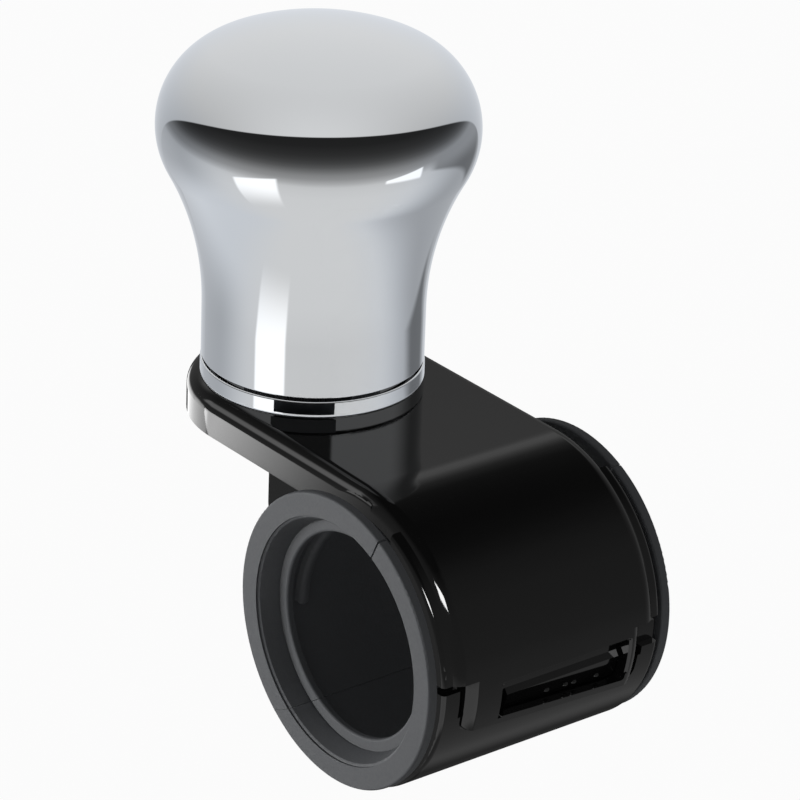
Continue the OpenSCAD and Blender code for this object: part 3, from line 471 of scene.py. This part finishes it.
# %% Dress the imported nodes
FINISHES = {"chrome": chrome_plating, "black_shell": gloss_abs, "soft_liner": soft_pvc,
            "steel": zinc_steel, "bearing_steel": ground_steel, "cage_brass": cage_brass,
            "core_nylon": natural_nylon, "felt": wool_felt}
WELD_GAP = 0.0005 * MM
HARD_EDGE = math.radians(28)

slot_of = {row["node"]: row["material_slot"] for row in frame["record"]["subparts"]}
for name, node in frame["nodes"].items():
    node.data.materials.clear()
    node.data.materials.append(FINISHES[slot_of[name]])
    if "custom_normal" in node.data.attributes:
        node.data.attributes.remove(node.data.attributes["custom_normal"])
    node.data.polygons.foreach_set("use_smooth", [True] * len(node.data.polygons))
    weld = node.modifiers.new("join corners", "WELD")
    weld.merge_threshold = WELD_GAP
    split = node.modifiers.new("hard edges", "EDGE_SPLIT")
    split.split_angle = HARD_EDGE
    node.modifiers.new("flat faces", "WEIGHTED_NORMAL")
    node.visible_glossy = slot_of[name] != "soft_liner"
print("dressed:", len(frame["nodes"]))

# %% [markdown]
# The knob is a mirror, and a mirror shows every facet, so its shell is turned again here. On the real one the
# outline is a straight base, a hollow neck, a round shoulder and a flatter crown, each an arc that runs into
# the next. The centres of the arcs follow from the sizes, so that they meet without a kink.

# %% Outline of the chromed shell
FOOT_Z, BASE_TOP, BASE_R = 2.9, 11.0, 16.5
NECK_R, SHOULDER_R, SHOULDER_OUT, CROWN_R = 45.0, 13.0, 10.65, 39.0

knob_low, knob_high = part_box("knob_shell")
axis_x = (knob_low.x + knob_high.x) / 2 / MM
arm_top = knob_low.z / MM - FOOT_Z
neck_centre = (BASE_R + NECK_R, BASE_TOP)
rise = math.sqrt((NECK_R + SHOULDER_R) ** 2 - (neck_centre[0] - SHOULDER_OUT) ** 2)
shoulder_centre = (SHOULDER_OUT, BASE_TOP + rise)
drop = math.sqrt((CROWN_R - SHOULDER_R) ** 2 - SHOULDER_OUT ** 2)
crown_centre = (0.0, shoulder_centre[1] - drop)
neck_turn = math.acos((neck_centre[0] - SHOULDER_OUT) / (NECK_R + SHOULDER_R))
crown_turn = math.asin(SHOULDER_OUT / (CROWN_R - SHOULDER_R))
shoulder_turn = math.pi / 2 + neck_turn - crown_turn
print("top of the crown:", round(crown_centre[1] + CROWN_R, 3), "mm above the arm")

# %% [markdown]
# The outline is drawn by spinning one point about the centre of each arc, as a compass does. The outer side
# starts at the rounded foot and the inner side one wall further in, and the whole outline is then spun about
# the knob's axis in fine steps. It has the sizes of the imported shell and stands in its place.

# %% Turn the chromed shell
WALL, FOOT_EDGE = 2.4, 0.25
AROUND, DEGREES_A_STEP, FEWEST_STEPS = 192, 1.5, 3
SAME_POINT = 0.002


def draw_arc(mesh, point, centre, angle):
    steps = max(FEWEST_STEPS, round(abs(math.degrees(angle)) / DEGREES_A_STEP))
    made = bmesh.ops.spin(mesh, geom=[point], cent=(centre[0], 0, centre[1]), axis=(0, 1, 0), angle=angle,
                          steps=steps)
    return next(part for part in made["geom_last"] if isinstance(part, bmesh.types.BMVert))


def draw_line(mesh, point, to):
    made = bmesh.ops.extrude_vert_indiv(mesh, verts=[point])
    made["verts"][0].co = (to[0], 0, to[1])
    return made["verts"][0]


def draw_upwards(mesh, point, base_r):
    point = draw_line(mesh, point, (base_r, BASE_TOP))
    point = draw_arc(mesh, point, neck_centre, neck_turn)
    point = draw_arc(mesh, point, shoulder_centre, -shoulder_turn)
    return draw_arc(mesh, point, crown_centre, -crown_turn)


turned_shell = bmesh.new()
start = bmesh.ops.create_vert(turned_shell, co=(BASE_R - FOOT_EDGE, 0, FOOT_Z))["vert"][0]
point = draw_arc(turned_shell, start, (BASE_R - FOOT_EDGE, FOOT_Z + FOOT_EDGE), -math.pi / 2)
point = draw_upwards(turned_shell, point, BASE_R)
print("top of the outline:", [round(x, 3) for x in point.co], "points:", len(turned_shell.verts))
inner = bmesh.ops.create_vert(turned_shell, co=(BASE_R - WALL, 0, FOOT_Z))["vert"][0]
turned_shell.edges.new((start, inner))
draw_upwards(turned_shell, inner, BASE_R - WALL)
bmesh.ops.spin(turned_shell, geom=turned_shell.verts[:] + turned_shell.edges[:], cent=(0, 0, 0),
               axis=(0, 0, 1), angle=2 * math.pi, steps=AROUND, use_merge=True)
bmesh.ops.remove_doubles(turned_shell, verts=turned_shell.verts[:], dist=SAME_POINT)
bmesh.ops.recalc_face_normals(turned_shell, faces=turned_shell.faces[:])
bmesh.ops.scale(turned_shell, vec=(MM, MM, MM), verts=turned_shell.verts[:])
bmesh.ops.translate(turned_shell, vec=(axis_x * MM, 0, arm_top * MM), verts=turned_shell.verts[:])
knob_piece = bpy.data.objects.new("chromed_knob", bpy.data.meshes.new("chromed_knob"))
turned_shell.to_mesh(knob_piece.data)
turned_shell.free()
bpy.context.scene.collection.objects.link(knob_piece)
knob_piece.data.materials.append(chrome_plating)
knob_piece.data.polygons.foreach_set("use_smooth", [True] * len(knob_piece.data.polygons))
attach(knob_piece, "knob")
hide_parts("knob_shell")
print("chromed knob faces:", len(knob_piece.data.polygons))

# %% [markdown]
# Streaks of white on black plastic come from strong lamps that are mirrored in narrow roundings, and a wide
# lamp at the left brightens the soft bushes. Each lamp is placed by the direction that it shines from,
# counted from the camera's side. It lights only the mouldings or only the bushes, unseen by the camera.

# %% Lamps for the mouldings and for the bushes
# A lamp with this power in each square metre looks as bright as white does
WATTS_FOR_WHITE = 4


def lit_alone(name, slot):
    group = bpy.data.collections.new(name)
    for node_name, node in frame["nodes"].items():
        if slot_of[node_name] == slot:
            group.objects.link(node)
    return group


def aimed_lamp(name, turn_deg, rise_deg, distance_mm, size_mm, level, aim_mm, receivers,
               beside=(0, 0, 1)):
    heading = camera_heading + math.radians(turn_deg)
    rise_rad = math.radians(rise_deg)
    way = Vector((math.cos(heading) * math.cos(rise_rad), math.sin(heading) * math.cos(rise_rad),
                  math.sin(rise_rad)))
    along = Vector(beside).cross(way).normalized()
    data = bpy.data.lights.new(name, "AREA")
    data.shape = "RECTANGLE"
    data.size = size_mm[0] * MM
    data.size_y = size_mm[1] * MM
    data.energy = WATTS_FOR_WHITE * level * data.size * data.size_y
    lamp = bpy.data.objects.new(name, data)
    place = Matrix.Translation((Vector(aim_mm) + way * distance_mm) * MM)
    lamp.matrix_world = place @ Matrix((along, way.cross(along), way)).transposed().to_4x4()
    lamp.visible_camera = False
    lamp.light_linking.receiver_collection = receivers
    bpy.context.scene.collection.objects.link(lamp)
    return lamp


mouldings = lit_alone("black mouldings", "black_shell")
bushes = lit_alone("soft bushes", "soft_liner")
aimed_lamp("streak_lamp", -4, 30, 400, (170, 80), 18, (8, -18, 14), mouldings)
aimed_lamp("bush_lamp", -88, 2, 500, (200, 200), 9.5, (0, -22, 0), bushes)
print("lamps so far:", len(bpy.data.lights))

# %% [markdown]
# The arm's side is a flat, narrow wall that shines grey near the knob and gets darker towards the clamp. A
# long lamp close by does that: it stands where that wall mirrors it to the camera, its long side runs as the
# wall does, and its light fades along it.

# %% Lamp for the arm's side
WALL_LEFT, WALL_RIGHT, WALL_Y, WALL_Z = -47.0, 12.0, -18.5, 21.4
SIDE_LEVEL, FULL_X, DARK_X, FADE_POWER = 3.7, -35.0, 9.0, 2.0
SIDE_TURN, SIDE_RISE, SIDE_DISTANCE = -102.4, -25.1, 55

# The wall faces -Y, so it sends the camera's rays on this way, and the lamp's turn and rise say the same
MIRROR_WAY = Vector((-0.706, -0.567, -0.424))

# The camera looks at the wall aslant and sees it shortened to this share of its length
SIDE_HEIGHT, SEEN_SHARE = 10, 0.71

wall_middle = ((WALL_LEFT + WALL_RIGHT) / 2, WALL_Y, WALL_Z)
beside_wall = MIRROR_WAY.cross(Vector((1, 0, 0)))
side_size = ((WALL_RIGHT - WALL_LEFT) * SEEN_SHARE, SIDE_HEIGHT)
side_lamp = aimed_lamp("side_lamp", SIDE_TURN, SIDE_RISE, SIDE_DISTANCE, side_size, SIDE_LEVEL,
                       wall_middle, mouldings, beside_wall)
side_lamp.data.use_nodes = True
tree = side_lamp.data.node_tree
long_side = side_lamp.matrix_world.to_3x3() @ Vector((1, 0, 0))
full_at = Vector((FULL_X, WALL_Y, WALL_Z)).dot(long_side)
dark_at = Vector((DARK_X, WALL_Y, WALL_Z)).dot(long_side)
lamp_point = add_node(tree, "ShaderNodeNewGeometry").outputs["Position"]
place = add_node(tree, "ShaderNodeVectorMath", {0: lamp_point, 1: tuple(long_side / MM)},
                 operation="DOT_PRODUCT").outputs["Value"]
share = add_node(tree, "ShaderNodeMapRange", {"Value": place, "From Min": dark_at,
                                              "From Max": full_at}).outputs[0]
fall = add_node(tree, "ShaderNodeMath", {0: share, 1: FADE_POWER}, operation="POWER").outputs[0]
tree.links.new(fall, tree.nodes["Emission"].inputs["Strength"])
print("side lamp is", [round(x) for x in side_size], "mm")

# %% [markdown]
# The ring's front has a dark patch, and the arm repeats it. It is the image of something dark close to the
# ring, so a small curved card stands there. It is a strip of a cylinder around the knob's axis, and only
# mirror rays see it.

# %% Card before the ring
FLAG_R, FLAG_LOW, FLAG_TOP = 17.2, 0.1, 2.2
FLAG_FROM, FLAG_TO, FLAG_STEPS = -18.5, 13.5, 16

card = bmesh.new()
corner = bmesh.ops.create_vert(card, co=(FLAG_R, 0, FLAG_LOW))["vert"][0]
bmesh.ops.spin(card, geom=[corner], cent=(0, 0, 0), axis=(0, 0, 1),
               angle=math.radians(FLAG_TO - FLAG_FROM), steps=FLAG_STEPS)
raised = bmesh.ops.extrude_edge_only(card, edges=card.edges[:])
bmesh.ops.translate(card, vec=(0, 0, FLAG_TOP - FLAG_LOW),
                    verts=[part for part in raised["geom"] if isinstance(part, bmesh.types.BMVert)])
card_turn = Matrix.Rotation(camera_heading + math.radians(FLAG_FROM), 3, "Z")
bmesh.ops.rotate(card, cent=(0, 0, 0), matrix=card_turn, verts=card.verts[:])
bmesh.ops.translate(card, vec=(axis_x, 0, arm_top), verts=card.verts[:])
bmesh.ops.scale(card, vec=(MM, MM, MM), verts=card.verts[:])
flag = bpy.data.objects.new("black_flag", bpy.data.meshes.new("black_flag"))
card.to_mesh(flag.data)
card.free()
bpy.context.scene.collection.objects.link(flag)
flag.data.materials.append(finish_of("grey_card", "#8f9296", 0.9, grain_mm=1.0))
flag.visible_camera = False
flag.visible_diffuse = False
flag.visible_shadow = False
flag.visible_transmission = False
print("lamps:", len(bpy.data.lights), "card faces:", len(flag.data.polygons))
